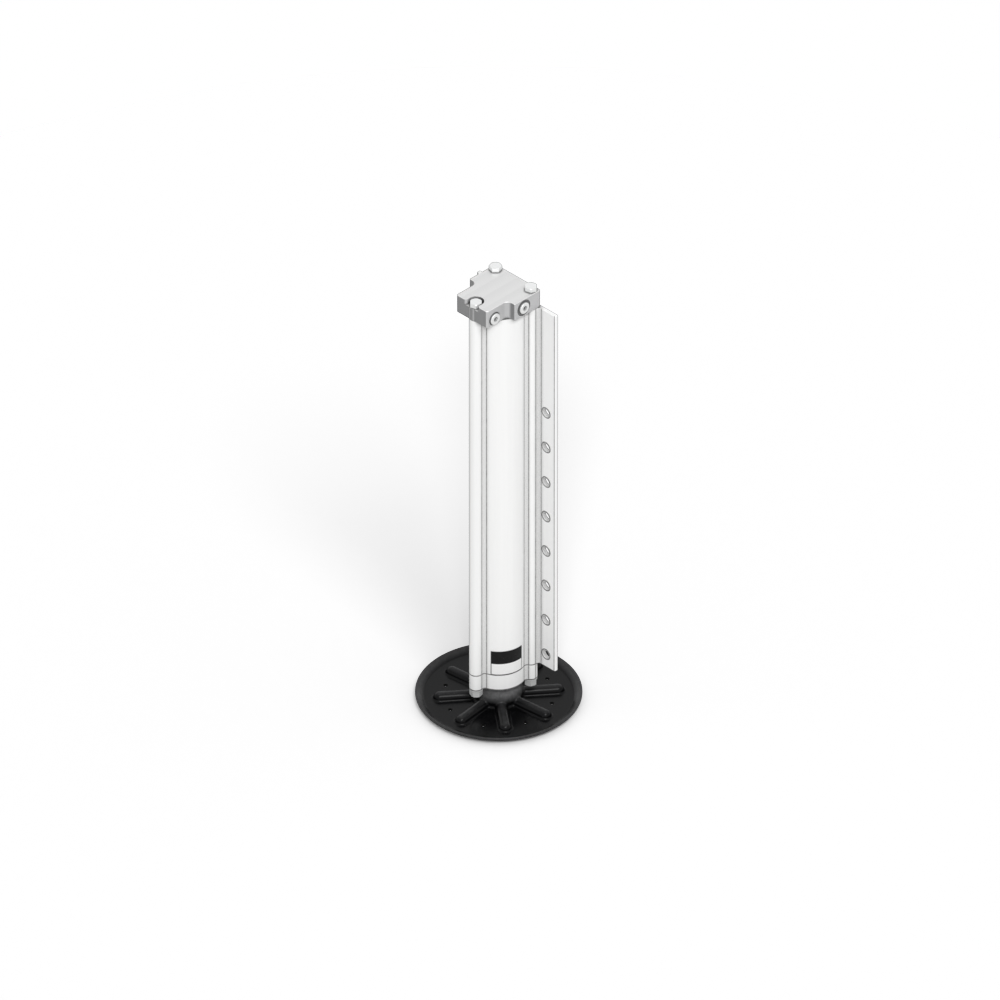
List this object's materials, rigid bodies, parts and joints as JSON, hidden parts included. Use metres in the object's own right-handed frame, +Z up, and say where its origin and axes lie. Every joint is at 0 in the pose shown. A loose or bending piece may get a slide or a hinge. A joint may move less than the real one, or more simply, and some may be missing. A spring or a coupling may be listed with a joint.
{
  "type": "leveling jack",
  "caption": "Upright hydraulic leveling jack: flanged extruded barrel, drilled top manifold and a sliding rod that carries a round ribbed foot on a ball joint.",
  "frame": {"origin": "centre of the foot's underside, on the ground, with the rod retracted", "axes": "+Z up along the rod, +Y towards the flange's bolting face, +X towards the plugged ports"},
  "size_m": [0.302, 0.302, 0.9107],
  "materials": {
    "painted_barrel": "satin",
    "cast_manifold": "matte",
    "zinc_steel": "satin",
    "plug_steel": "satin",
    "seal_rubber": "matte",
    "bearing_bronze": "satin",
    "decal_film": "gloss",
    "chromed_rod": "polished",
    "turned_steel": "satin",
    "piston_iron": "matte",
    "black_foot": "satin"
  },
  "bodies": {
    "barrel": {"barrel_extrusion": "painted_barrel", "top_manifold": "cast_manifold", "gland_head": "painted_barrel", "rear_tie_bolts": "zinc_steel", "front_tie_bolt": "zinc_steel", "tie_bolt_washers": "zinc_steel", "tie_bolt_nuts": "zinc_steel", "extend_port_plug": "plug_steel", "retract_port_plug": "plug_steel", "port_plug_o_rings": "seal_rubber", "manifold_o_ring": "seal_rubber", "transfer_o_rings": "seal_rubber", "gland_o_ring": "seal_rubber", "rod_guide_bush": "bearing_bronze", "rod_seal": "seal_rubber", "rod_wiper": "seal_rubber", "right_decal": "decal_film", "left_decal": "decal_film"},
    "rod": {"piston_rod": "chromed_rod", "piston": "piston_iron", "piston_seal": "seal_rubber", "piston_wear_ring": "bearing_bronze", "piston_o_ring": "seal_rubber", "piston_nut": "turned_steel", "stop_tube": "turned_steel", "ball_stud": "turned_steel"},
    "liner": {"ball_liner": "bearing_bronze"},
    "foot": {"foot_pad": "black_foot", "ball_cup": "turned_steel", "ball_collar": "turned_steel", "collar_screws": "zinc_steel"}
  },
  "joints": [
    {"name": "rod_slide", "type": "slide", "parent": "barrel", "child": "rod", "axis": [0, 0, -1], "range_m": [0, 0.6096]},
    {"name": "foot_spin", "type": "hinge", "parent": "rod", "child": "liner", "pos_m": [0, 0, 0.02246], "axis": [0, 0, 1], "continuous": true},
    {"name": "foot_tilt", "type": "hinge", "parent": "liner", "child": "foot", "pos_m": [0, 0, 0.02246], "axis": [1, 0, 0], "range_deg": [-8, 8]}
  ]
}
